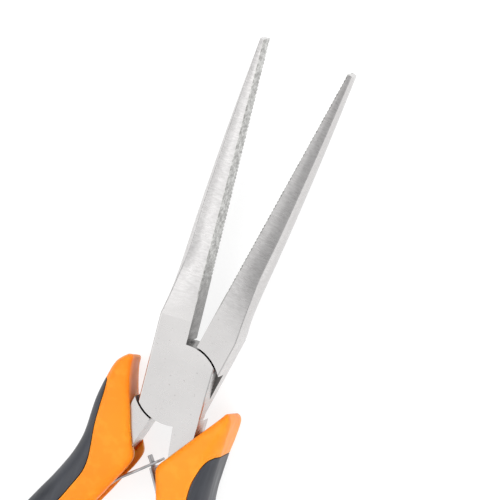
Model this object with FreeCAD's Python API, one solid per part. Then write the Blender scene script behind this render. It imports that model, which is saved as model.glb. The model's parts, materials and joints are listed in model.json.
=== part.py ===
import FreeCAD, Part
import math
import os

os.makedirs("parts", exist_ok=True)

# Needle nose pliers lying flat, jaws towards +Y and pivot axis along +Z. Sizes are in mm.
# Each lever is drawn closed, with the pivot at the origin and the gripping plane on x = 0:
# its jaw is on the -X side and its handle on the +X side. place_front and place_rear turn
# the pieces to the open rest pose and lift them, so that the grips lie on z = 0.

# ---- rest pose ----
HALF_OPENING = 7.25           # degrees, each lever from the closed position
PIVOT_Y = 14.25               # puts the middle of the overall length on y = 0

# ---- head and lap joint ----
HEAD_HALF_WIDTH = 6.1
HEAD_HALF_THICKNESS = 4.25
HEAD_TAPER_Y = 3.6            # below this the handle side of the head narrows to the tang
HEAD_NECK_HALF_WIDTH = 5.65
JOINT_RADIUS = 7.65
JOINT_GAP = 0.35              # between a joint disc and the shoulder that faces it
LAP_GAP = 0.02                # from the middle plane to each lapped face
RIVET_RADIUS = 2.6
RIVET_RUNNING_GAP = 0.04

# ---- jaws ----
JAW_LENGTH = 65.0             # pivot to tip
JAW_ROOT_Y = 12.0             # the head ends and the jaw starts to narrow
JAW_FLARE_Y = 20.5            # the flare towards the head ends
TIP_WIDTH = 1.2
TIP_HALF_THICKNESS = 2.3
JAW_TAPER = 0.1265            # width gained per mm from the tip
JAW_BOW = 0.00072             # width lost per square mm from the tip
EDGE_RADIUS = 0.3             # corners between the faces and the outer side
BACK_BULGE = 0.19             # bulge of the rounded outer side, over the jaw's width
FACE_FALL = 0.16              # fall of each face towards the outer side, over the jaw's width
ROUNDING_LENGTH = 12.0        # the flat head turns into the rounded jaw over this length
FACE_GAP = 0.03               # from the gripping plane to the tooth crests
TOOTH_PITCH = 0.7
TOOTH_WIDTH = 0.6
TOOTH_DEPTH = 0.12
TOOTH_START_Y = 19.6

# ---- tang ----
TANG_START_Y = -2.0
TANG_END_Y = -82.0
TANG_THIN_Y = -19.0           # below this the tang is thinner, inside the grip
TANG_HALF_THICKNESS = 3.3

# ---- grips ----
GRIP_HALF_THICKNESS = 6.2
GRIP_CORNER_RADIUS = 0.8
GRIP_EDGE_RADIUS = 1.1
MOUTH_GAP = 0.3
INLAY_DEPTH = 1.7
CHANNEL_HALF_WIDTH = 3.5
CHANNEL_END_Y = -40.0

# ---- return springs and their rivets ----
LEAF_THICKNESS = 0.45
LEAF_HALF_WIDTH = 2.8
LEAF_CLEARANCE = 0.25         # leaf to tang, and leaf to rivet head
SEAT_TOP = (4.85, -23.0)      # the straight seat on the tang's inner side
SEAT_ANGLE = 11.0             # degrees from the lever's axis
SEAT_LENGTH = 16.4
SEAT_TO_RIVET = 12.25         # along the seat, from its top
FOOT_LENGTH = 2.4             # leaf beyond the rivet
FOOT_STRAIGHT = 1.6           # flat part of the leaf above the rivet
LEAF_RIVET_RADIUS = 0.8
LEAF_HOLE_RADIUS = 0.92
LEAF_RIVET_HEAD_RADIUS = 1.5
LEAF_RIVET_HEAD_HEIGHT = 0.45
LEAF_RIVET_DEPTH = 2.0        # shank inside the tang
TONGUE_HALF_WIDTH = 1.1
TONGUE_LENGTH = 2.2
SLOT_HALF_WIDTH = 1.4
SLOT_LENGTH = 1.7
SLOT_END_LAND = 0.95          # from the end of the slot to the tip of the leaf

BEYOND = 100.0                # cutting solids run this far past the piece


def vec(x, y, z=0.0):
    return FreeCAD.Vector(x, y, z)


def curve(points, start=None, end=None):
    """A smooth edge through plan points, with its end directions if they matter."""
    spline = Part.BSplineCurve()
    through = [vec(x, y) for x, y in points]
    if start and end:
        spline.interpolate(Points=through, InitialTangent=vec(*start), FinalTangent=vec(*end))
    else:
        spline.interpolate(through)
    return spline.toShape()


def polyline(points):
    """Straight edges from each plan point to the next."""
    return [Part.makeLine(vec(*a), vec(*b)) for a, b in zip(points, points[1:])]


def plate(edges, z_low, z_high):
    """The solid between two heights whose plan outline is the closed chain of edges."""
    outline = Part.Wire(Part.__sortEdges__(edges))
    face = Part.Face(outline)
    face.translate(vec(0, 0, z_low))
    return face.extrude(vec(0, 0, z_high - z_low))


def polygon_plate(points, z_low, z_high):
    return plate(polyline(points + points[:1]), z_low, z_high)


def block(x_low, x_high, y_low, y_high, z_low, z_high):
    return Part.makeBox(x_high - x_low, y_high - y_low, z_high - z_low, vec(x_low, y_low, z_low))


def disc(radius, z_low, z_high):
    return Part.makeCylinder(radius, z_high - z_low, vec(0, 0, z_low))


# ------------------------------------------------------------------ levers

def jaw_width(y):
    """Gripping plane to outer side: a slightly bowed taper that flares into the head."""
    def tapered(at):
        from_tip = JAW_LENGTH - at
        return TIP_WIDTH + JAW_TAPER * from_tip - JAW_BOW * from_tip ** 2
    root_flare = HEAD_HALF_WIDTH - tapered(JAW_ROOT_Y)
    share = max(0.0, (JAW_FLARE_Y - y) / (JAW_FLARE_Y - JAW_ROOT_Y))
    return tapered(y) + root_flare * share ** 1.5


def jaw_half_thickness(y):
    taper = (HEAD_HALF_THICKNESS - TIP_HALF_THICKNESS) / (JAW_LENGTH - JAW_ROOT_Y)
    return TIP_HALF_THICKNESS + taper * (JAW_LENGTH - y)


def jaw_section(y):
    """Section across the jaw at y: faces that curve down to an outer side bulging into a D."""
    rounding = min(1.0, (y - JAW_ROOT_Y) / ROUNDING_LENGTH)
    width = jaw_width(y)
    bulge = BACK_BULGE * width * rounding
    fall = FACE_FALL * width * rounding
    return rounded_section(y, width, TOOTH_DEPTH, jaw_half_thickness(y), bulge, fall)


def edge_through(start, mid, end):
    """An arc through three points, or a line where they are straight."""
    if end.sub(start).cross(mid.sub(start)).Length < 1e-6:
        return Part.makeLine(start, end)
    return Part.Arc(start, mid, end).toShape()


def rounded_section(y, width, inner_x, half_thickness, bulge=0.0, fall=0.0):
    """Closed section across the lever at y, with its two outer corners rounded."""
    corner = EDGE_RADIUS * (1.0 - math.sqrt(0.5))
    side = bulge - width
    top = half_thickness
    face_mid = (inner_x + side + EDGE_RADIUS) / 2.0
    mid_top = top - fall / 4.0
    outer_top = top - fall
    points = [
        (inner_x, -top), (face_mid, -mid_top), (side + EDGE_RADIUS, -outer_top),
        (side + corner, -outer_top + corner), (side, -outer_top + EDGE_RADIUS),
        (-width, 0.0), (side, outer_top - EDGE_RADIUS),
        (side + corner, outer_top - corner), (side + EDGE_RADIUS, outer_top),
        (face_mid, mid_top), (inner_x, top)]
    around = [vec(x, y, z) for x, z in points]
    edges = [edge_through(*around[first:first + 3]) for first in range(0, len(around) - 1, 2)]
    edges.append(Part.makeLine(around[-1], around[0]))
    return Part.Wire(edges)


def jaw_blank():
    """The tapered jaw, a little past the gripping plane, before its teeth are cut."""
    stations = [JAW_ROOT_Y, 14.5, 17.0, JAW_FLARE_Y, 24.0, 30.0, 40.0, 50.0, 57.0, 62.0,
                JAW_LENGTH]
    return Part.makeLoft([jaw_section(y) for y in stations], True, False)


def head_side(ends):
    """Half of the head's full section between (y, half width) ends, on the -X side."""
    sections = [rounded_section(y, width, 0.0, HEAD_HALF_THICKNESS) for y, width in ends]
    return Part.makeLoft(sections, True, True)


def head_bar():
    """The head along its whole length: straight on the jaw side, narrowing towards the tang."""
    jaw_side = head_side([(-JOINT_RADIUS, HEAD_HALF_WIDTH), (JAW_ROOT_Y, HEAD_HALF_WIDTH)])
    neck = head_side([(-JOINT_RADIUS, HEAD_NECK_HALF_WIDTH), (HEAD_TAPER_Y, HEAD_HALF_WIDTH),
                      (JAW_ROOT_Y, HEAD_HALF_WIDTH)])
    return jaw_side.fuse(neck.mirror(vec(0, 0, 0), vec(1, 0, 0))).removeSplitter()


def gripping_face_cutter():
    """Everything past the gripping face: flat near the head, cross teeth up to the tip."""
    points = [(BEYOND, -1.0), (-FACE_GAP, -1.0)]
    count = int((JAW_LENGTH - TOOTH_START_Y) / TOOTH_PITCH)
    for index in range(count):
        y = TOOTH_START_Y + index * TOOTH_PITCH
        points.append((-FACE_GAP, y))
        points.append((-FACE_GAP - TOOTH_DEPTH, y + TOOTH_WIDTH / 2))
        points.append((-FACE_GAP, y + TOOTH_WIDTH))
    points += [(-FACE_GAP, JAW_LENGTH + 1.0), (BEYOND, JAW_LENGTH + 1.0)]
    return polygon_plate(points, -BEYOND, BEYOND)


def seat_point(along, inward=0.0):
    """A plan point down the spring seat, and off it towards the other handle."""
    angle = math.radians(SEAT_ANGLE)
    x = SEAT_TOP[0] + along * math.sin(angle) - inward * math.cos(angle)
    y = SEAT_TOP[1] - along * math.cos(angle) - inward * math.sin(angle)
    return (x, y)


TANG_INNER_TOP = [(1.3, -7.9), (1.7, -12.5), (2.2, -15.8), (3.35, -19.3), SEAT_TOP]
TANG_INNER_END = [seat_point(SEAT_LENGTH), (9.6, -50.0), (10.3, -60.0), (10.1, -72.0),
                  (9.2, TANG_END_Y)]
TANG_OUTER = [(12.6, TANG_END_Y), (14.0, -71.0), (14.2, -58.0), (12.6, -44.0), (10.3, -31.0),
              (7.5, -20.5), (5.75, -12.0), (5.65, -6.6)]


def tang():
    """The handle end of the lever: thick beside the head, thinner inside the grip."""
    outline = [curve(TANG_INNER_TOP), curve(TANG_INNER_END), curve(TANG_OUTER)]
    outline += polyline([SEAT_TOP, TANG_INNER_END[0]])
    outline += polyline([TANG_INNER_END[-1], TANG_OUTER[0]])
    neck_x = TANG_OUTER[-1][0]
    outline += polyline([TANG_OUTER[-1], (neck_x, TANG_START_Y), (TANG_INNER_TOP[0][0], TANG_START_Y),
                         TANG_INNER_TOP[0]])
    shape = plate(outline, -HEAD_HALF_THICKNESS, HEAD_HALF_THICKNESS)
    for low, high in ((-BEYOND, -TANG_HALF_THICKNESS), (TANG_HALF_THICKNESS, BEYOND)):
        shape = shape.cut(block(-BEYOND, BEYOND, -BEYOND, TANG_THIN_Y, low, high))
    return shape


def seat_cylinder(radius, inward_from, inward_to):
    """A cylinder square to the spring seat at the leaf's rivet."""
    start = vec(*seat_point(SEAT_TO_RIVET, inward_from))
    end = vec(*seat_point(SEAT_TO_RIVET, inward_to))
    axis = end.sub(start)
    return Part.makeCylinder(radius, axis.Length, start, axis)


def lever(rivet_hole_radius):
    jaw_side = head_side([(0.0, HEAD_HALF_WIDTH), (JAW_ROOT_Y, HEAD_HALF_WIDTH)])
    jaw_side = jaw_side.fuse(jaw_blank())
    jaw_side = jaw_side.cut(gripping_face_cutter())
    shape = jaw_side.fuse(tang())
    shape = shape.cut(disc(JOINT_RADIUS + JOINT_GAP, -BEYOND, LAP_GAP))
    front_disc = head_bar().common(disc(JOINT_RADIUS, LAP_GAP, BEYOND))
    shape = shape.fuse(front_disc)
    shape = shape.cut(disc(rivet_hole_radius, -BEYOND, BEYOND))
    shape = shape.cut(seat_cylinder(LEAF_RIVET_RADIUS, -LEAF_RIVET_DEPTH, LEAF_CLEARANCE))
    return shape.removeSplitter()


def pivot_rivet():
    """Ground flush with both faces of the head."""
    return disc(RIVET_RADIUS, -HEAD_HALF_THICKNESS, HEAD_HALF_THICKNESS)


# ------------------------------------------------------------------ springs

LEAF_OFFSET = LEAF_CLEARANCE + LEAF_THICKNESS / 2
TONGUE_PATH = [(4.75, -29.0), (3.2, -25.2), (1.29, -20.8), (-1.27, -16.2), (-2.4, -14.45)]
SLOTTED_PATH = [(4.9, -29.3), (3.55, -25.4), (2.04, -21.9), (-1.08, -17.7), (-3.6, -14.3)]


def leaf(path):
    """A bent strip: flat at its riveted foot, then smooth along the path to its tip."""
    foot_end = seat_point(SEAT_TO_RIVET + FOOT_LENGTH, LEAF_OFFSET)
    bend = seat_point(SEAT_TO_RIVET - FOOT_STRAIGHT, LEAF_OFFSET)
    angle = math.radians(SEAT_ANGLE)
    seat_direction = (-math.sin(angle), math.cos(angle))
    tip_direction = (path[-1][0] - path[-2][0], path[-1][1] - path[-2][1])
    foot = polyline([foot_end, bend])
    spine = Part.Wire(foot + [curve([bend] + path, seat_direction, tip_direction)])
    across = vec(math.cos(angle), math.sin(angle)) * (LEAF_THICKNESS / 2)
    up = vec(0, 0, LEAF_HALF_WIDTH)
    start = vec(*foot_end)
    corners = [start - across - up, start + across - up, start + across + up, start - across + up]
    section = Part.Wire([Part.makeLine(a, b) for a, b in zip(corners, corners[1:] + corners[:1])])
    strip = spine.makePipeShell([section], True, False)
    through = LEAF_CLEARANCE + LEAF_THICKNESS
    return strip.cut(seat_cylinder(LEAF_HOLE_RADIUS, -through, 2.0 * through))


def tip_block(path, from_tip_low, from_tip_high, z_low, z_high):
    """A box through the strip near its tip, between two distances back from the tip."""
    tip = vec(*path[-1])
    back = vec(*path[-2]).sub(tip)
    back.normalize()
    reach = 3.0 * LEAF_THICKNESS
    box = block(-reach, reach, from_tip_low, from_tip_high, z_low, z_high)
    turn = math.degrees(math.atan2(back.y, back.x)) - 90.0
    box.rotate(vec(0, 0), vec(0, 0, 1), turn)
    box.translate(tip)
    return box


def tongue_spring():
    """The leaf whose narrow tongue passes through the slot of the other leaf."""
    strip = leaf(TONGUE_PATH)
    for low, high in ((TONGUE_HALF_WIDTH, BEYOND), (-BEYOND, -TONGUE_HALF_WIDTH)):
        strip = strip.cut(tip_block(TONGUE_PATH, -1.0, TONGUE_LENGTH, low, high))
    return strip


def slotted_spring():
    strip = leaf(SLOTTED_PATH)
    slot = tip_block(SLOTTED_PATH, SLOT_END_LAND, SLOT_END_LAND + SLOT_LENGTH,
                     -SLOT_HALF_WIDTH, SLOT_HALF_WIDTH)
    return strip.cut(slot)


def spring_rivet():
    """A round head over the leaf's foot, with its shank set in the tang."""
    under_head = LEAF_CLEARANCE + LEAF_THICKNESS + LEAF_CLEARANCE
    shank = seat_cylinder(LEAF_RIVET_RADIUS, -LEAF_RIVET_DEPTH, under_head)
    head = seat_cylinder(
        LEAF_RIVET_HEAD_RADIUS, under_head, under_head + LEAF_RIVET_HEAD_HEIGHT)
    return shank.fuse(head).removeSplitter()


# ------------------------------------------------------------------ grips

GRIP_BODY = [(1.5, -21.0), (3.9, -30.0), (6.8, -45.0), (7.8, -60.0), (6.9, -75.0), (5.7, -86.0),
             (6.8, -92.6), (10.1, -95.0), (13.4, -92.4), (14.8, -86.0), (17.2, -75.0),
             (18.2, -60.0), (16.9, -45.0), (14.3, -33.0), (11.7, -23.0)]

FRONT_TOP = [(0.25, -15.5), (3.75, -10.85), (10.1, -2.9)]
FRONT_SIDE = [(10.75, -16.0), (11.0, -9.5), (11.5, -4.2)]
FRONT_INLAY = [(16.0, -9.3), (10.4, -10.9), (9.3, -11.9), (8.3, -13.9), (7.4, -18.0)]

REAR_TOP = [(0.3, -15.3), (3.1, -11.3), (7.1, -5.0), (9.5, 1.3)]
REAR_SIDE = [(10.7, -16.5), (11.6, -10.0), (11.95, -6.0), (11.8, -1.9)]
REAR_INLAY = [(16.0, -4.6), (11.5, -5.3), (10.85, -7.6), (9.6, -13.4), (7.4, -20.6)]

INLAY_EDGE = [(8.0, -26.0), (10.3, -36.0), (12.3, -48.0), (13.0, -60.0), (12.5, -73.0),
              (13.2, -83.0), (22.0, -90.0)]


def grip_edges(top, side):
    """Plan outline: sloping top edge, thumb guard, then the long handle as one smooth curve."""
    body = curve([top[0]] + GRIP_BODY + side)
    return [body, curve(top)] + polyline([side[-1], top[-1]])


def grip_blank(top, side):
    """The outer form of one grip, with rounded corners and edges."""
    shape = plate(grip_edges(top, side), -GRIP_HALF_THICKNESS, GRIP_HALF_THICKNESS)
    upright = [edge for edge in shape.Edges if edge.BoundBox.ZLength > GRIP_HALF_THICKNESS]
    shape = shape.makeFillet(GRIP_CORNER_RADIUS, upright)
    level = [edge for edge in shape.Edges if edge.BoundBox.ZLength < 0.01]
    return shape.makeFillet(GRIP_EDGE_RADIUS, level)


def inlay(top, side, boundary):
    """The soft skin on the outer side of the grip, moulded into a step of the shell."""
    edge = boundary + INLAY_EDGE
    region = [curve(edge[1:-1])] + polyline(edge[:2]) + polyline(edge[-2:])
    region += polyline([edge[-1], (BEYOND, edge[-1][1]), (BEYOND, edge[0][1]), edge[0]])
    outer_part = plate(region, -BEYOND, BEYOND)
    core = plate(grip_edges(top, side), INLAY_DEPTH - GRIP_HALF_THICKNESS,
                 GRIP_HALF_THICKNESS - INLAY_DEPTH)
    core.translate(vec(-INLAY_DEPTH, 0))
    return grip_blank(top, side).common(outer_part).cut(core)


def mouth():
    """The looser part of the pocket, around the thick end of the tang."""
    half = HEAD_HALF_THICKNESS + MOUTH_GAP
    low_y = TANG_THIN_Y - MOUTH_GAP
    inner = [(1.0, TANG_START_Y), (1.0, -8.0), (1.55, -14.8), (3.1, low_y)]
    outer = [(7.1, low_y), (6.05, -12.0), (5.95, TANG_START_Y)]
    return polygon_plate(inner + outer, -half, half)


def channel():
    """The open groove on the inner side, in which the leaf spring lies."""
    points = [(-8.0, -8.0), (4.0, -8.0), (4.0, -16.0), (6.8, -25.0), (9.6, CHANNEL_END_Y),
              (-8.0, CHANNEL_END_Y)]
    return polygon_plate(points, -CHANNEL_HALF_WIDTH, CHANNEL_HALF_WIDTH)


def grip(top, side, boundary):
    shape = grip_blank(top, side)
    shape = shape.cut(inlay(top, side, boundary))
    shape = shape.cut(mouth())
    shape = shape.cut(channel())
    return shape.cut(tang())


# ------------------------------------------------------------------ assembly

def place_front(shape):
    shape.rotate(vec(0, 0), vec(0, 0, 1), HALF_OPENING)
    shape.translate(vec(0, PIVOT_Y, GRIP_HALF_THICKNESS))
    return shape


def place_rear(shape):
    """The rear half is turned over about the long axis before it is opened."""
    shape.rotate(vec(0, 0), vec(0, 1, 0), 180.0)
    shape.rotate(vec(0, 0), vec(0, 0, 1), -HALF_OPENING)
    shape.translate(vec(0, PIVOT_Y, GRIP_HALF_THICKNESS))
    return shape


def build():
    return {
        "front_lever": place_front(lever(RIVET_RADIUS)),
        "rear_lever": place_rear(lever(RIVET_RADIUS + RIVET_RUNNING_GAP)),
        "pivot_rivet": place_front(pivot_rivet()),
        "tongue_spring": place_front(tongue_spring()),
        "slotted_spring": place_rear(slotted_spring()),
        "tongue_spring_rivet": place_front(spring_rivet()),
        "slotted_spring_rivet": place_rear(spring_rivet()),
        "front_grip": place_front(grip(FRONT_TOP, FRONT_SIDE, FRONT_INLAY)),
        "front_grip_inlay": place_front(inlay(FRONT_TOP, FRONT_SIDE, FRONT_INLAY)),
        "rear_grip": place_rear(grip(REAR_TOP, REAR_SIDE, REAR_INLAY)),
        "rear_grip_inlay": place_rear(inlay(REAR_TOP, REAR_SIDE, REAR_INLAY)),
    }


for node, shape in build().items():
    shape.exportStep("parts/" + node + ".step")
    box = shape.optimalBoundingBox(False)
    print("%-22s valid %s solids %d volume %.1f x %.2f..%.2f y %.2f..%.2f z %.2f..%.2f" % (
        node, shape.isValid(), len(shape.Solids), shape.Volume,
        box.XMin, box.XMax, box.YMin, box.YMax, box.ZMin, box.ZMax))
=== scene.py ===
import bmesh
import bpy
import json
import math
from mathutils import Matrix, Vector


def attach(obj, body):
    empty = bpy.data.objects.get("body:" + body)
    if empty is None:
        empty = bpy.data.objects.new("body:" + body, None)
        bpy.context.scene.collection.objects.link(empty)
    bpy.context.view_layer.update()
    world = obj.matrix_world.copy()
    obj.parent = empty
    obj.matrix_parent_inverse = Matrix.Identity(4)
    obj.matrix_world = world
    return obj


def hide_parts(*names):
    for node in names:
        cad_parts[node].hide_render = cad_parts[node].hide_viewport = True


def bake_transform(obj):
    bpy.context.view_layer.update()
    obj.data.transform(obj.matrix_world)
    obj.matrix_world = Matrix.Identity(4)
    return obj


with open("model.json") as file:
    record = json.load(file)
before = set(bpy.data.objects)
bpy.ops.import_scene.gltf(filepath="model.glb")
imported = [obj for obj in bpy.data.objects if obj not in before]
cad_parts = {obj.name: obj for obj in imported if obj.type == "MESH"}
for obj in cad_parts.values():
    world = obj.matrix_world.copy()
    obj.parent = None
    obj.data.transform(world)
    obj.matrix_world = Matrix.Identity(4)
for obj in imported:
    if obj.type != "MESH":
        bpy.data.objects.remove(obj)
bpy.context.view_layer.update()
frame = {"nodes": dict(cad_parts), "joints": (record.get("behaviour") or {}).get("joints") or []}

# Lengths are in mm, in the frame of a closed lever: pivot at the origin, handle on +X, jaw tip
# towards +Y. MM turns them into metres, and FRONT and REAR place them in the open rest pose.
MM = 0.001
HALF_OPENING = math.radians(7.25)
PIVOT = Vector(next(joint for joint in frame["joints"] if joint["name"] == "pivot")["pos_m"])
FRONT = Matrix.Translation(PIVOT) @ Matrix.Rotation(HALF_OPENING, 4, "Z")
REAR = (Matrix.Translation(PIVOT) @ Matrix.Rotation(-HALF_OPENING, 4, "Z")
        @ Matrix.Rotation(math.pi, 4, "Y"))

# ---- camera ----
CAMERA_DISTANCE = 1.50
FIELD_WIDTH = 0.0909
CAMERA_ROLL = math.radians(-0.14)
CAMERA_RIGHT = Vector((0.907, 0.3615, -0.216))
CAMERA_UP = Vector((-0.387, 0.9177, -0.089))
AIM_RIGHT = 13.45             # the picture's centre, from the pivot on the head's face
AIM_UP = 24.55
SENSOR_WIDTH = 36.0

# ---- studio: brightness of the surroundings by direction, -1 far left to 1 far right ----
STUDIO_ENDS = (0.55, 0.7)
STUDIO_BANDS = [(-0.92, 0.18), (-0.74, 0.55), (-0.52, 1.0), (-0.34, 0.94), (-0.18, 0.71),
                (0.0, 0.64), (0.1, 0.58), (0.35, 0.39), (0.6, 0.3), (0.85, 0.52)]
STUDIO_ACROSS = (0.97, -0.24, 0.0)
STUDIO_STRENGTH = 1.5
SUNS = [("key", (-0.2, 0.1, 1.0), 1.6, 80.0), ("right_fill", (1.0, -0.25, 0.6), 1.5, 60.0)]
FLOOR_SIZE = 4.0               # metres
FLOOR_DROP = 0.02              # keeps the floor from meeting the grips' flat backs

# ---- head ----
HEAD_HALF_THICKNESS = 4.25
JOINT_RADIUS = 7.65            # round shoulder of the lap joint

# ---- grips: stations down the handle, each (inner edge, outer edge) ----
FRONT_GUARD = [
    ((10.75, -2.0), (11.75, -3.1)),
    ((9.5, -3.7), (11.65, -5.1)),
    ((7.8, -5.85), (11.4, -7.5)),
    ((5.8, -8.3), (11.1, -10.0)),
    ((3.75, -10.85), (10.95, -12.6)),
    ((1.9, -13.2), (10.85, -15.0)),
    ((0.25, -15.6), (10.8, -17.2)),
]
REAR_GUARD = [
    ((9.35, 1.55), (11.45, -0.35)),
    ((8.95, -0.6), (11.9, -2.5)),
    ((8.1, -2.8), (12.0, -4.6)),
    ((6.85, -5.4), (12.0, -7.1)),
    ((5.1, -8.2), (11.85, -9.7)),
    ((3.35, -11.2), (11.4, -12.6)),
    ((1.9, -13.4), (11.0, -14.9)),
    ((0.55, -15.5), (10.8, -17.2)),
]
HANDLE = [
    ((0.75, -18.2), (10.9, -19.8)),
    ((1.5, -21.0), (11.3, -22.4)),
    ((2.6, -25.4), (12.2, -26.3)),
    ((3.9, -30.0), (13.4, -30.4)),
    ((5.5, -37.5), (15.3, -37.5)),
    ((6.8, -45.0), (16.9, -45.0)),
    ((7.6, -52.5), (17.9, -52.5)),
    ((7.8, -60.0), (18.2, -60.0)),
    ((7.5, -67.5), (17.9, -67.5)),
    ((6.9, -75.0), (17.1, -75.0)),
    ((6.1, -81.0), (15.9, -81.0)),
    ((5.75, -86.0), (14.8, -86.0)),
    ((6.0, -90.0), (14.0, -90.0)),
    ((7.0, -92.9), (13.1, -92.9)),
    ((8.5, -94.5), (11.6, -94.5)),
]
GRIP_HALF_THICKNESS = 6.2
BUTT_THICKNESS = (0.62, 0.86, 0.95, 0.99)    # shares of it, from the last station inwards
FACE_CROWN = 0.5               # how far a face falls from its middle to its edge
OUTER_RADIUS = 2.9
INNER_RADIUS = 1.5
GUARD_INNER_LESS = (0.5, 0.8)  # how much smaller it is on the guard, shown face and back
GUARD_BLEND = 1.6              # how fast the handle's corners turn into the guard's
CORNER_LIMIT = 0.92            # largest corner radius, as a share of half the smaller side
ROUND = 2.0                    # squareness of a circular corner
BROAD_RADIUS = 2.0             # a guard corner with more than this is a flatter one
BROAD_LESS = 0.45
END_RADIUS = 1.2
END_RADIUS_SHARE = 0.8         # its most, as a share of the half width
END_THINNING = 1.6
STEPS_PER_STATION = 16
ROWS_KEPT = 4                  # one row in this many is kept away from the ends
FACE_STEPS = 10
CORNER_STEPS = 7
SIDE_STEPS = 5
SHELL_EDGE = 0.22
SKIN_EDGE = 0.16

FRONT_SEAM = [(16.0, -9.3), (10.4, -10.9), (9.3, -11.9), (8.3, -13.9), (7.4, -18.0)]
REAR_SEAM = [(16.0, -4.6), (11.5, -5.3), (10.85, -7.6), (9.6, -13.4), (7.4, -20.6)]
HANDLE_SEAM = [(8.0, -26.0), (10.3, -36.0), (12.3, -48.0), (13.0, -60.0), (12.5, -73.0),
               (13.2, -83.0), (22.0, -90.0)]
SEAM_GAP = 0.16
SEAM_STEPS = 6
SEAM_FAR_SIDE = 40.0           # beyond the grip's outer side
SEAM_HALF_HEIGHT = 10.0        # beyond the grip's faces
MOUTH_HALF_HEIGHT = 4.55
MOUTH = [(1.0, -2.0), (1.0, -8.0), (1.55, -14.8), (3.1, -19.3), (7.1, -19.3), (6.05, -12.0),
         (5.95, -2.0)]
TANG_POCKET = [(1.9, -15.0), (3.35, -19.3), (4.85, -23.0), (8.0, -39.1), (9.6, -50.0), (12.9, -50.0),
               (10.3, -31.0), (7.5, -20.5), (6.3, -15.0)]
POCKET_HALF_HEIGHT = 3.3
CHANNEL_HALF_HEIGHT = 3.5
CHANNEL = [(-8.0, -8.0), (4.0, -8.0), (4.0, -16.0), (6.8, -25.0), (9.6, -40.0), (-8.0, -40.0)]

# ---- leaf springs ----
LEAF_THICKNESS = 0.45
LEAF_HALF_WIDTH = 2.8
LEAF_FOOT = (7.179, -37.471)
LEAF_RIVET = (6.721, -35.116)
LEAF_BEND = (6.416, -33.545)
TONGUE_PATH = [(4.75, -29.0), (3.2, -25.2), (1.29, -20.8), (-1.27, -16.2), (-2.4, -14.45)]
SLOTTED_PATH = [(4.9, -29.3), (3.55, -25.4), (2.04, -21.9), (-1.08, -17.7), (-3.6, -14.3)]
TONGUE_HALF_WIDTH = 1.1
TONGUE_LENGTH = 2.2
SLOT_HALF_WIDTH = 1.4
SLOT_FROM_TIP = (0.95, 2.65)
LEAF_STEP = 0.35
LEAF_CURVE_STEPS = 24
LEAF_EDGE = 0.09

# ---- edges ----
SMOOTH_ANGLE = math.radians(35.0)
EDGE_SEGMENTS = 2


# ------------------------------------------------------------------ mesh helpers

def new_object(name, bm, matrix):
    """A linked object from mm geometry in a lever's frame, which matrix puts in its place."""
    bmesh.ops.recalc_face_normals(bm, faces=bm.faces)
    mesh = bpy.data.meshes.new(name)
    bm.to_mesh(mesh)
    bm.free()
    mesh.transform(matrix @ Matrix.Scale(MM, 4))
    mesh.update()
    piece = bpy.data.objects.new(name, mesh)
    bpy.context.scene.collection.objects.link(piece)
    return piece


def bake(piece):
    """Replaces a piece's mesh with the result of its modifiers."""
    bpy.context.view_layer.update()
    graph = bpy.context.evaluated_depsgraph_get()
    result = bpy.data.meshes.new_from_object(piece.evaluated_get(graph))
    piece.modifiers.clear()
    piece.data = result


def boolean(piece, cutter, operation):
    modifier = piece.modifiers.new("boolean", "BOOLEAN")
    modifier.operation = operation
    modifier.object = cutter
    modifier.solver = "EXACT"
    bake(piece)


def soften(piece, width):
    """Rounds the sharp edges, and shades the rest smooth."""
    bevel = piece.modifiers.new("bevel", "BEVEL")
    bevel.width = width * MM
    bevel.segments = EDGE_SEGMENTS
    bevel.limit_method = "ANGLE"
    bevel.angle_limit = SMOOTH_ANGLE
    bake(piece)
    piece.data.shade_smooth()
    piece.data.set_sharp_from_angle(angle=SMOOTH_ANGLE)


def give_material(piece, material):
    piece.data.materials.clear()
    piece.data.materials.append(material)


def smooth_path(points, steps):
    """Catmull-Rom points through a list of vectors of any size."""
    padded = [2 * points[0] - points[1]] + points + [2 * points[-1] - points[-2]]
    path = []
    for a, b, c, d in zip(padded, padded[1:], padded[2:], padded[3:]):
        for step in range(steps):
            t = step / steps
            path.append(0.5 * (2 * b + (c - a) * t + (2 * a - 5 * b + 4 * c - d) * t ** 2
                               + (3 * b - a - 3 * c + d) * t ** 3))
    return path + [points[-1]]


def prism(name, outline, half_height, matrix):
    bm = bmesh.new()
    rings = [[bm.verts.new((x, y, z)) for x, y in outline] for z in (-half_height, half_height)]
    bm.faces.new(rings[0])
    bm.faces.new(rings[1])
    count = len(outline)
    for i in range(count):
        j = (i + 1) % count
        bm.faces.new((rings[0][i], rings[0][j], rings[1][j], rings[1][i]))
    return new_object(name, bm, matrix)


# ------------------------------------------------------------------ grips

def corner_point(share, radius, squareness):
    """A point on a rounded corner, from the face (share 0) to the side (share 1)."""
    angle = share * math.pi / 2
    power = 2.0 / squareness
    return (radius * math.sin(angle) ** power, radius * math.cos(angle) ** power)


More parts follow.
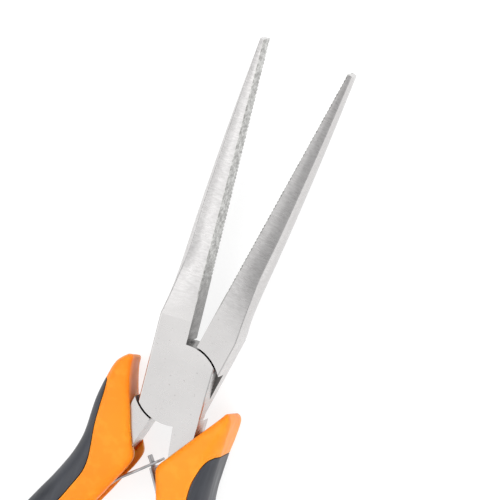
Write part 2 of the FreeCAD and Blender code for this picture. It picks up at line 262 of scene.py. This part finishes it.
def half_section(half_width, half_thickness, inner_radius, outer_radius, outer_squareness):
    """Half of a section, face upward: (across, up) points from the inner to the outer side."""
    limit = CORNER_LIMIT * min(half_width, half_thickness)
    inner_radius = min(inner_radius, limit)
    outer_radius = min(outer_radius, limit)
    top = half_thickness
    points = []
    for step in range(SIDE_STEPS):
        points.append((-half_width, (top - inner_radius) * step / SIDE_STEPS))
    for step in range(CORNER_STEPS):
        across, up = corner_point(1 - step / CORNER_STEPS, inner_radius, ROUND)
        points.append((-half_width + inner_radius - across, top - inner_radius + up))
    start = -half_width + inner_radius
    span = 2 * half_width - inner_radius - outer_radius
    for step in range(FACE_STEPS):
        share = step / FACE_STEPS
        points.append((start + span * share, top))
    for step in range(CORNER_STEPS + 1):
        across, up = corner_point(step / CORNER_STEPS, outer_radius, outer_squareness)
        points.append((half_width - outer_radius + across, top - outer_radius + up))
    for step in range(1, SIDE_STEPS + 1):
        points.append((half_width, (top - outer_radius) * (1 - step / SIDE_STEPS)))
    fall = [FACE_CROWN * min(1.0, abs(across) / half_width) ** 2 for across, up in points]
    return [(across, up * (1 - down / top)) for (across, up), down in zip(points, fall)]


def grip_form(name, guard, matrix, facing, thin, lean, outer_radii):
    """A grip as one smooth body: rounded sections across every station, closed at both ends.

    facing is 1 where the face that the camera sees is up in the lever's frame, or else -1. At the
    guard's tip, thin mm is taken off the grip's back, the back is moved by lean, and outer_radii
    are the outer corner's radii on the shown face and on the back.
    """
    stations = guard + HANDLE
    count = len(stations)
    controls = []
    for index, (inner, outer) in enumerate(stations):
        from_tip = index / (len(guard) - 1)
        to_butt = count - 1 - index
        guard_share = max(0.0, 1.0 - from_tip)
        thickness = GRIP_HALF_THICKNESS - thin / 2 * guard_share
        if to_butt < len(BUTT_THICKNESS):
            thickness *= BUTT_THICKNESS[to_butt]
        controls.append(Vector((*inner, *outer, thickness, guard_share)))
    path = smooth_path(controls, STEPS_PER_STATION)
    bm = bmesh.new()
    rings = []
    for row in rounded_ends(path):
        inner, outer, half_thickness = Vector(row[0:2]), Vector(row[2:4]), row[4]
        middle = (inner + outer) / 2
        across_dir = (outer - inner).normalized()
        half_width = (outer - inner).length / 2
        share = max(0.0, row[5])
        blend = min(1.0, GUARD_BLEND * share)
        halves = []
        for radius, less in zip(outer_radii, GUARD_INNER_LESS):
            corner = OUTER_RADIUS + (radius - OUTER_RADIUS) * blend
            squareness = ROUND - (BROAD_LESS if radius > BROAD_RADIUS else 0.0) * blend
            halves.append(half_section(half_width, half_thickness, INNER_RADIUS - less * blend,
                                       corner, squareness))
        front = halves[0] if facing > 0 else halves[1]
        back = halves[1] if facing > 0 else halves[0]
        back = [(across, -up) for across, up in reversed(back[1:-1])]
        ring = []
        for across, up in front + back:
            place = middle + across_dir * across
            shift = Vector(lean) * share * (1 - facing * up / half_thickness) / 2
            height = up + facing * thin / 2 * share
            height = max(-GRIP_HALF_THICKNESS, min(GRIP_HALF_THICKNESS, height))
            ring.append(bm.verts.new((place.x + shift.x, place.y + shift.y, height)))
        rings.append(ring)
    size = len(rings[0])
    for low, high in zip(rings, rings[1:]):
        for i in range(size):
            j = (i + 1) % size
            bm.faces.new((low[i], low[j], high[j], high[i]))
    bm.faces.new(rings[0])
    bm.faces.new(rings[-1])
    return new_object(name, bm, matrix)


def row_middle(row):
    return (Vector(row[0:2]) + Vector(row[2:4])) / 2


def rounded_ends(path):
    """Thins out the stations, and shrinks those near either end along a quarter circle."""
    rows = []
    for index, row in enumerate(path):
        near_end = min(index, len(path) - 1 - index) <= STEPS_PER_STATION
        if not near_end and index % ROWS_KEPT:
            continue
        inner = Vector(row[0:2])
        outer = Vector(row[2:4])
        across = (outer - inner).normalized()
        away = min((row_middle(row) - row_middle(path[0])).length,
                   (row_middle(row) - row_middle(path[-1])).length)
        radius = min(END_RADIUS, END_RADIUS_SHARE * (outer - inner).length / 2)
        inset = radius * (1 - math.sqrt(max(0.0, 1 - max(0.0, 1 - away / radius) ** 2)))
        row = row.copy()
        row[0], row[1] = inner + across * inset
        row[2], row[3] = outer - across * inset
        row[4] -= END_THINNING * inset
        rows.append(row)
    return rows


def seam_region(seam, shift):
    """Plan outline of everything outside the seam, moved sideways by shift."""
    curve = smooth_path([Vector(point) for point in seam[1:] + HANDLE_SEAM[:-1]], SEAM_STEPS)
    line = [Vector(seam[0])] + curve + [Vector(HANDLE_SEAM[-1])]
    moved = []
    for i, point in enumerate(line):
        along = (line[min(i + 1, len(line) - 1)] - line[max(i - 1, 0)]).normalized()
        moved.append(point + Vector((-along.y, along.x)) * shift)
    return moved + [Vector((SEAM_FAR_SIDE, HANDLE_SEAM[-1][1])),
                    Vector((SEAM_FAR_SIDE, seam[0][1]))]


def make_grip(prefix, guard, seam, matrix, body, **form):
    """A grip's orange shell, with its openings, and the inlay skin outside its seam."""
    shell = grip_form(prefix + "_shell", guard, matrix, **form)
    skin = shell.copy()
    skin.data = shell.data.copy()
    skin.name = prefix + "_inlay_skin"
    bpy.context.scene.collection.objects.link(skin)
    cutters = [
        (shell, seam_region(seam, -SEAM_GAP / 2), SEAM_HALF_HEIGHT, "DIFFERENCE"),
        (skin, seam_region(seam, SEAM_GAP / 2), SEAM_HALF_HEIGHT, "INTERSECT"),
        (shell, MOUTH, MOUTH_HALF_HEIGHT, "DIFFERENCE"),
        (shell, TANG_POCKET, POCKET_HALF_HEIGHT, "DIFFERENCE"),
        (shell, CHANNEL, CHANNEL_HALF_HEIGHT, "DIFFERENCE"),
    ]
    for piece, outline, half_height, operation in cutters:
        cutter = prism("cut", outline, half_height, matrix)
        boolean(piece, cutter, operation)
        bpy.data.objects.remove(cutter)
    soften(shell, SHELL_EDGE)
    soften(skin, SKIN_EDGE)
    for piece, node, slot, material in ((shell, prefix, "grip_shell", orange),
                                        (skin, prefix + "_inlay", "grip_inlay", slate)):
        give_material(piece, material)
        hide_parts(node)
        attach(piece, body)


# ------------------------------------------------------------------ springs

def leaf_line(path):
    """The leaf's middle line, from its foot past its rivet to its tip, in even steps."""
    controls = [Vector(LEAF_FOOT), Vector(LEAF_RIVET), Vector(LEAF_BEND)]
    dense = smooth_path(controls + [Vector(point) for point in path],
                        LEAF_CURVE_STEPS)
    line = [dense[0]]
    for point in dense[1:]:
        if (point - line[-1]).length >= LEAF_STEP:
            line.append(point)
    line[-1] = Vector(path[-1])
    return line


def make_leaf(name, node, path, matrix, kept):
    """A bent strip on its middle surface, thickened; kept says which cells are there."""
    line = leaf_line(path)
    to_tip = [0.0]
    for a, b in zip(line[::-1], line[::-1][1:]):
        to_tip.append(to_tip[-1] + (a - b).length)
    to_tip = to_tip[::-1]
    levels = [-LEAF_HALF_WIDTH, -SLOT_HALF_WIDTH, -TONGUE_HALF_WIDTH, 0.0,
              TONGUE_HALF_WIDTH, SLOT_HALF_WIDTH, LEAF_HALF_WIDTH]
    bm = bmesh.new()
    grid = [[bm.verts.new((point.x, point.y, z)) for z in levels] for point in line]
    for i in range(len(line) - 1):
        away = (to_tip[i] + to_tip[i + 1]) / 2
        for k in range(len(levels) - 1):
            if kept(away, abs(levels[k] + levels[k + 1]) / 2):
                bm.faces.new((grid[i][k], grid[i + 1][k], grid[i + 1][k + 1], grid[i][k + 1]))
    loose = [vert for vert in bm.verts if not vert.link_faces]
    bmesh.ops.delete(bm, geom=loose, context="VERTS")
    piece = new_object(name, bm, matrix)
    solid = piece.modifiers.new("solid", "SOLIDIFY")
    solid.thickness = LEAF_THICKNESS * MM
    solid.offset = 0.0
    bake(piece)
    soften(piece, LEAF_EDGE)
    give_material(piece, spring_steel)
    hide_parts(node)
    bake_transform(piece)


def tongue_kept(from_tip, height):
    return from_tip > TONGUE_LENGTH or height < TONGUE_HALF_WIDTH


def slotted_kept(from_tip, height):
    return not (SLOT_FROM_TIP[0] < from_tip < SLOT_FROM_TIP[1] and height < SLOT_HALF_WIDTH)


# ------------------------------------------------------------------ materials

class Surface:
    """A Principled material with short helpers for its noise, ramp and bump nodes."""

    def __init__(self, name, metallic, roughness, matrix=Matrix.Translation(PIVOT)):
        self.material = bpy.data.materials.new(name)
        self.material.use_nodes = True
        self.tree = self.material.node_tree
        self.bsdf = self.tree.nodes["Principled BSDF"]
        self.bsdf.inputs["Metallic"].default_value = metallic
        self.bsdf.inputs["Roughness"].default_value = roughness
        coordinates = self.node("ShaderNodeTexCoord").outputs["Object"]
        back = matrix.inverted()
        mapping = self.node("ShaderNodeMapping")
        mapping.inputs["Location"].default_value = back.to_translation()
        mapping.inputs["Rotation"].default_value = back.to_euler()
        self.link(coordinates, mapping.inputs["Vector"])
        self.place = mapping.outputs["Vector"]

    def node(self, kind):
        return self.tree.nodes.new(kind)

    def link(self, source, target):
        self.tree.links.new(source, target)

    def noise(self, scale, stretch=(1, 1, 1), detail=3.0, rough=0.5, offset=0.0):
        mapping = self.node("ShaderNodeMapping")
        mapping.inputs["Scale"].default_value = [scale * value for value in stretch]
        mapping.inputs["Location"].default_value = (offset, offset, offset)
        self.link(self.place, mapping.inputs["Vector"])
        noise = self.node("ShaderNodeTexNoise")
        noise.inputs["Scale"].default_value = 1.0
        noise.inputs["Detail"].default_value = detail
        noise.inputs["Roughness"].default_value = rough
        self.link(mapping.outputs["Vector"], noise.inputs["Vector"])
        return noise.outputs["Fac"]

    def ramp(self, source, low, high, low_color, high_color):
        ramp = self.node("ShaderNodeValToRGB")
        ramp.color_ramp.elements[0].position = low
        ramp.color_ramp.elements[1].position = high
        ramp.color_ramp.elements[0].color = (*low_color, 1)
        ramp.color_ramp.elements[1].color = (*high_color, 1)
        self.link(source, ramp.inputs["Fac"])
        return ramp.outputs["Color"]

    def math(self, operation, a, b=0.0):
        node = self.node("ShaderNodeMath")
        node.operation = operation
        for socket, value in zip(node.inputs, (a, b)):
            if isinstance(value, (int, float)):
                socket.default_value = value
            else:
                self.link(value, socket)
        return node.outputs["Value"]

    def mask(self, source, low, high):
        """0 below low and 1 above high, or the other way round when low is more than high."""
        node = self.node("ShaderNodeMapRange")
        node.interpolation_type = "SMOOTHSTEP"
        falling = low > high
        node.inputs["From Min"].default_value = min(low, high)
        node.inputs["From Max"].default_value = max(low, high)
        node.inputs["To Min"].default_value = 1.0 if falling else 0.0
        node.inputs["To Max"].default_value = 0.0 if falling else 1.0
        self.link(source, node.inputs["Value"])
        return node.outputs["Result"]

    def mix(self, factor, first, second):
        """first where factor is 0, and second, which may be a plain colour, where it is 1."""
        node = self.node("ShaderNodeMix")
        node.data_type = "RGBA"
        colors = [socket for socket in node.inputs if socket.type == "RGBA"]
        self.link(factor, node.inputs[0])
        self.link(first, colors[0])
        if isinstance(second, tuple):
            colors[1].default_value = (*second, 1)
        else:
            self.link(second, colors[1])
        return next(socket for socket in node.outputs if socket.type == "RGBA")

    def axis(self, index):
        split = self.node("ShaderNodeSeparateXYZ")
        self.link(self.place, split.inputs["Vector"])
        return split.outputs[index]

    def normal_z(self):
        split = self.node("ShaderNodeSeparateXYZ")
        self.link(self.node("ShaderNodeTexCoord").outputs["Normal"], split.inputs["Vector"])
        return split.outputs[2]

    def color(self, source):
        self.link(source, self.bsdf.inputs["Base Color"])

    def roughness(self, source, low, high):
        """Spreads the middle of a noise over roughnesses from low to high."""
        node = self.node("ShaderNodeMapRange")
        node.inputs["From Min"].default_value = 0.3
        node.inputs["From Max"].default_value = 0.7
        node.inputs["To Min"].default_value = low
        node.inputs["To Max"].default_value = high
        self.link(source, node.inputs["Value"])
        self.link(node.outputs["Result"], self.bsdf.inputs["Roughness"])

    def bump(self, layers):
        """Stacks (height, distance in mm, strength) layers."""
        previous = None
        for height, distance, strength in layers:
            bump = self.node("ShaderNodeBump")
            bump.inputs["Distance"].default_value = distance * MM
            bump.inputs["Strength"].default_value = strength
            self.link(height, bump.inputs["Height"])
            if previous is not None:
                self.link(previous, bump.inputs["Normal"])
            previous = bump.outputs["Normal"]
        self.link(previous, self.bsdf.inputs["Normal"])


def make_lever_steel(name, matrix):
    """Satin ground tool steel: mottled, finely pitted, cross-ground on the jaws, with painted shade
    in the joint's crevices.
    """
    steel = Surface(name, 1.0, 0.4, matrix)
    cloud = steel.noise(110, detail=4)
    base = steel.ramp(cloud, 0.3, 0.72, (0.655, 0.642, 0.637), (0.715, 0.700, 0.693))
    tint = steel.noise(60, detail=2, offset=3.0)
    base = steel.mix(steel.mask(tint, 0.52, 0.72), base, (0.68, 0.655, 0.648))
    specks = steel.noise(1500, detail=2, offset=7.0)
    pits = steel.math("MULTIPLY", steel.mask(specks, 0.67, 0.75), 0.4)
    base = steel.mix(pits, base, (0.40, 0.38, 0.37))
    # Cross grinding on the jaws, which begin 11.5 to 20 mm above the pivot.
    grind = steel.noise(2200, stretch=(0.45, 1.5, 0.5), detail=4, rough=0.6, offset=1.0)
    jaw = steel.mask(steel.axis(1), 11.5 * MM, 20 * MM)
    grind_tone = steel.ramp(grind, 0.35, 0.65, (0.46, 0.452, 0.452), (0.74, 0.73, 0.73))
    base = steel.mix(steel.math("MULTIPLY", jaw, 0.45), base, grind_tone)
    # Sides are duller than the ground faces.
    level = steel.math("ABSOLUTE", steel.normal_z())
    upright = steel.mask(level, 0.7, 0.4)
    base = steel.mix(steel.math("MULTIPLY", upright, 0.6), base, (0.54, 0.525, 0.52))
    # Dirt and nicks on the gripping faces, within 0.3 mm of the closed jaws' middle plane.
    sideways = steel.math("ABSOLUTE", steel.axis(0))
    face = steel.math("MULTIPLY", steel.mask(sideways, 0.30 * MM, 0.16 * MM), jaw)
    flecks = steel.noise(900, stretch=(1.0, 1.0, 0.55), detail=4, rough=0.7, offset=11.0)
    soiled = steel.ramp(flecks, 0.42, 0.60, (0.17, 0.17, 0.155), (0.60, 0.605, 0.58))
    base = steel.mix(steel.math("MULTIPLY", face, 0.8), base, soiled)
    # Painted shade round the joint's shoulder, at the root of the jaws and between the lapped
    # halves, darkening these crevices as shadow would.
    radius = steel.math("SQRT", steel.math("ADD", steel.math("POWER", sideways, 2.0),
                                           steel.math("POWER", steel.axis(1), 2.0)))
    off_ring = steel.math("ABSOLUTE", steel.math("SUBTRACT", radius, JOINT_RADIUS * MM))
    shoulder = steel.math("MULTIPLY", steel.mask(off_ring, 0.9 * MM, 0.6 * MM),
                          steel.mask(sideways, 5.5 * MM, 5.1 * MM))
    root = steel.math("MULTIPLY", steel.mask(sideways, 0.6 * MM, 0.3 * MM),
                      steel.mask(steel.axis(1), 26 * MM, 13 * MM))
    sheltered = steel.math("MULTIPLY", upright, steel.math("MAXIMUM", shoulder, root))
    mid_plane = steel.mask(steel.math("ABSOLUTE", steel.axis(2)), 0.6 * MM, 0.4 * MM)
    lap = steel.math("MULTIPLY", mid_plane, steel.mask(level, 0.6, 0.8))
    painted_crevice_shade = steel.math("MULTIPLY", steel.math("MAXIMUM", sheltered, lap), 0.85)
    # The dark colour mixed in here is painted shade.
    base = steel.mix(painted_crevice_shade, base, (0.075, 0.068, 0.062))
    steel.color(base)
    steel.roughness(steel.noise(420, stretch=(1.0, 2.5, 1.0), detail=3, offset=5.0), 0.24, 0.34)
    steel.bump([(grind, 0.012, 0.3), (specks, 0.02, 0.2)])
    return steel.material


def make_spring_steel():
    """Rolled strip: streaks along its length."""
    steel = Surface("spring_steel", 1.0, 0.35)
    streaks = steel.noise(900, stretch=(1.0, 0.12, 1.0), detail=4)
    steel.color(steel.ramp(streaks, 0.3, 0.7, (0.34, 0.34, 0.35), (0.54, 0.54, 0.555)))
    steel.roughness(steel.noise(500, detail=3, offset=2.0), 0.25, 0.42)
    steel.bump([(streaks, 0.015, 0.3)])
    return steel.material


def make_rivet_steel():
    """Headed wire: a patchy satin finish."""
    steel = Surface("rivet_steel", 1.0, 0.35)
    patches = steel.noise(700, detail=4)
    steel.color(steel.ramp(patches, 0.35, 0.65, (0.42, 0.415, 0.41), (0.58, 0.575, 0.57)))
    steel.roughness(steel.noise(900, detail=3, offset=2.0), 0.28, 0.48)
    steel.bump([(patches, 0.02, 0.3)])
    return steel.material


def make_orange():
    """Satin moulded shell: slow tone drift, fine moulding grain, a few faint scuffs."""
    shell = Surface("orange_shell", 0.0, 0.42)
    drift = shell.noise(45, detail=2)
    base = shell.ramp(drift, 0.3, 0.7, (0.82, 0.200, 0.004), (0.85, 0.248, 0.009))
    mottle = shell.noise(420, detail=3, offset=4.0)
    mottled = shell.math("MULTIPLY", shell.mask(mottle, 0.5, 0.7), 0.35)
    base = shell.mix(mottled, base, (0.87, 0.315, 0.025))
    scuff = shell.noise(300, stretch=(1.0, 0.15, 1.0), detail=5, rough=0.65, offset=9.0)
    scuffed = shell.math("MULTIPLY", shell.mask(scuff, 0.66, 0.76), 0.3)
    base = shell.mix(scuffed, base, (0.88, 0.40, 0.09))
    shell.color(base)
    shell.roughness(mottle, 0.36, 0.50)
    grain = shell.noise(2600, detail=2, offset=6.0)
    shell.bump([(grain, 0.012, 0.35), (mottle, 0.03, 0.15)])
    shell.bsdf.inputs["Specular IOR Level"].default_value = 0.32
    shell.bsdf.inputs["Subsurface Weight"].default_value = 0.5
    shell.bsdf.inputs["Subsurface Radius"].default_value = (1.0, 0.4, 0.1)
    shell.bsdf.inputs["Subsurface Scale"].default_value = 3.5 * MM
    return shell.material


def make_slate():
    """Soft-touch skin: dark slate with faint lengthwise streaks and a rubbery grain."""
    skin = Surface("slate_skin", 0.0, 0.45)
    streaks = skin.noise(650, stretch=(1.0, 0.06, 1.0), detail=4)
    base = skin.ramp(streaks, 0.3, 0.7, (0.014, 0.016, 0.021), (0.034, 0.037, 0.046))
    cloud = skin.noise(90, detail=3, offset=5.0)
    clouded = skin.math("MULTIPLY", skin.mask(cloud, 0.45, 0.7), 0.4)
    base = skin.mix(clouded, base, (0.045, 0.047, 0.056))
    skin.color(base)
    skin.roughness(skin.noise(500, stretch=(1.0, 0.2, 1.0), detail=3, offset=8.0), 0.34, 0.52)
    grain = skin.noise(2200, detail=3, offset=2.0)
    skin.bump([(grain, 0.015, 0.4), (streaks, 0.02, 0.2)])
    return skin.material


def make_floor():
    """A pale floor that gives off some light, so that it reads as the photo's white background."""
    floor = Surface("pale_floor", 0.0, 0.85)
    tone = floor.noise(3, detail=3)
    floor.color(floor.ramp(tone, 0.3, 0.7, (0.24, 0.24, 0.24), (0.26, 0.26, 0.26)))
    floor.bsdf.inputs["Specular IOR Level"].default_value = 0.2
    floor.bsdf.inputs["Emission Color"].default_value = (1, 1, 1, 1)
    floor.bsdf.inputs["Emission Strength"].default_value = 0.78
    return floor.material


# ------------------------------------------------------------------ studio

def add_camera():
    right = CAMERA_RIGHT.normalized()
    up = (CAMERA_UP - right * CAMERA_UP.dot(right)).normalized()
    back = right.cross(up)
    head_face = PIVOT + Vector((0, 0, HEAD_HALF_THICKNESS * MM))
    target = head_face + (right * AIM_RIGHT + up * AIM_UP) * MM
    data = bpy.data.cameras.new("camera")
    data.sensor_width = SENSOR_WIDTH
    data.lens = data.sensor_width * CAMERA_DISTANCE / FIELD_WIDTH
    data.clip_start = 0.01
    camera = bpy.data.objects.new("camera", data)
    bpy.context.scene.collection.objects.link(camera)
    rotation = Matrix((right, up, back)).transposed().to_4x4()
    camera.matrix_world = Matrix.Translation(target + back * CAMERA_DISTANCE) @ rotation
    roll = (Matrix.Translation(head_face) @ Matrix.Rotation(CAMERA_ROLL, 4, back)
            @ Matrix.Translation(-head_face))
    camera.matrix_world = roll @ camera.matrix_world
    bpy.context.scene.camera = camera


def add_sun(name, direction, strength, angle):
    """A soft sun from a direction. It isn't reflected, so the steel shows only the studio."""
    data = bpy.data.lights.new(name, "SUN")
    data.energy = strength
    data.angle = math.radians(angle)
    light = bpy.data.objects.new(name, data)
    light.rotation_euler = Vector(direction).to_track_quat("Z", "Y").to_euler()
    light.visible_glossy = False
    bpy.context.scene.collection.objects.link(light)


def add_world():
    """A soft studio in upright bands: brightest left of overhead, and dimmest at the right."""
    world = bpy.data.worlds.new("studio")
    world.use_nodes = True
    tree = world.node_tree
    background = tree.nodes["Background"]
    coordinates = tree.nodes.new("ShaderNodeTexCoord")
    across = tree.nodes.new("ShaderNodeVectorMath")
    across.operation = "DOT_PRODUCT"
    across.inputs[1].default_value = STUDIO_ACROSS
    tree.links.new(coordinates.outputs["Generated"], across.inputs[0])
    place = tree.nodes.new("ShaderNodeMapRange")
    place.inputs["From Min"].default_value = -1.0
    tree.links.new(across.outputs["Value"], place.inputs["Value"])
    ramp = tree.nodes.new("ShaderNodeValToRGB")
    ramp.color_ramp.interpolation = "EASE"
    stops = ramp.color_ramp.elements
    for stop, level in zip(stops, STUDIO_ENDS):
        stop.color = (level, level, level, 1)
    for direction, level in STUDIO_BANDS:
        stop = stops.new((direction + 1) / 2)
        stop.color = (level, level, level, 1)
    tree.links.new(place.outputs["Result"], ramp.inputs["Fac"])
    tree.links.new(ramp.outputs["Color"], background.inputs["Color"])
    background.inputs["Strength"].default_value = STUDIO_STRENGTH
    bpy.context.scene.world = world


def add_floor():
    bm = bmesh.new()
    bmesh.ops.create_grid(bm, x_segments=8, y_segments=8, size=FLOOR_SIZE)
    mesh = bpy.data.meshes.new("floor")
    bm.to_mesh(mesh)
    bm.free()
    floor = bpy.data.objects.new("floor", mesh)
    floor.location.z = -FLOOR_DROP * MM
    bpy.context.scene.collection.objects.link(floor)
    mesh.materials.append(make_floor())


# ------------------------------------------------------------------ the pliers

orange = make_orange()
slate = make_slate()
spring_steel = make_spring_steel()
rivet_steel = make_rivet_steel()
front_steel = make_lever_steel("front_lever_steel", FRONT)
rear_steel = make_lever_steel("rear_lever_steel", REAR)

for node, material in (("front_lever", front_steel), ("rear_lever", rear_steel),
                       ("pivot_rivet", front_steel), ("tongue_spring_rivet", rivet_steel),
                       ("slotted_spring_rivet", rivet_steel)):
    give_material(frame["nodes"][node], material)

make_grip("front_grip", FRONT_GUARD, FRONT_SEAM, FRONT, "front_half",
          facing=1, thin=0.8, lean=(0.0, -1.1), outer_radii=(2.6, 0.8))
make_grip("rear_grip", REAR_GUARD, REAR_SEAM, REAR, "rear_half",
          facing=-1, thin=0.9, lean=(0.2, -1.4), outer_radii=(1.9, 1.9))
make_leaf("tongue_leaf_spring", "tongue_spring", TONGUE_PATH, FRONT,
          tongue_kept)
make_leaf("slotted_leaf_spring", "slotted_spring", SLOTTED_PATH, REAR,
          slotted_kept)

add_floor()
for sun in SUNS:
    add_sun(*sun)
add_world()
bpy.context.scene.view_settings.view_transform = "Standard"
add_camera()
